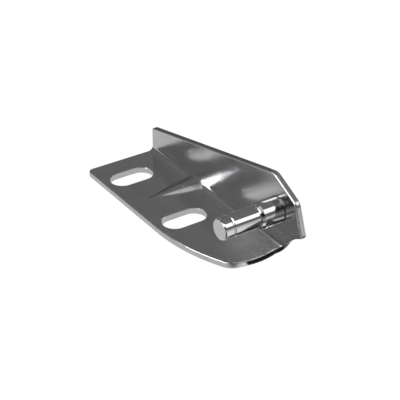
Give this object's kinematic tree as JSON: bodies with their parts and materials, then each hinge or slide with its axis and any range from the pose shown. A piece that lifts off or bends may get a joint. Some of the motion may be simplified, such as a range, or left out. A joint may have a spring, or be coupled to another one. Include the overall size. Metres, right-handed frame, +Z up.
{
  "type": "bow roller bracket",
  "caption": "Bent stainless side bracket for a bow roller: slotted base, upright flange with a pressed rib, and a stub pin with a spacer sleeve for the roller.",
  "frame": {"origin": "centre of the rear mounting slot on the underside of the base", "axes": "+X along the bend from the rear end towards the pin, +Y across the base towards the upright flange, +Z up"},
  "size_m": [0.1194, 0.0416, 0.0357],
  "materials": {
    "polished_sheet": "polished, slightly blurred reflections",
    "turned_pin": "fine turned and polished",
    "turned_sleeve": "fine turned and polished"
  },
  "bodies": {
    "bracket": {"bracket_plate": "polished_sheet", "roller_pin": "turned_pin"},
    "sleeve": {"spacer_sleeve": "turned_sleeve"}
  },
  "joints": [
    {"name": "sleeve_spin", "type": "hinge", "parent": "bracket", "child": "sleeve", "pos_m": [0.0845, 0.0166, 0.0195], "axis": [0, -1, 0], "continuous": true}
  ]
}
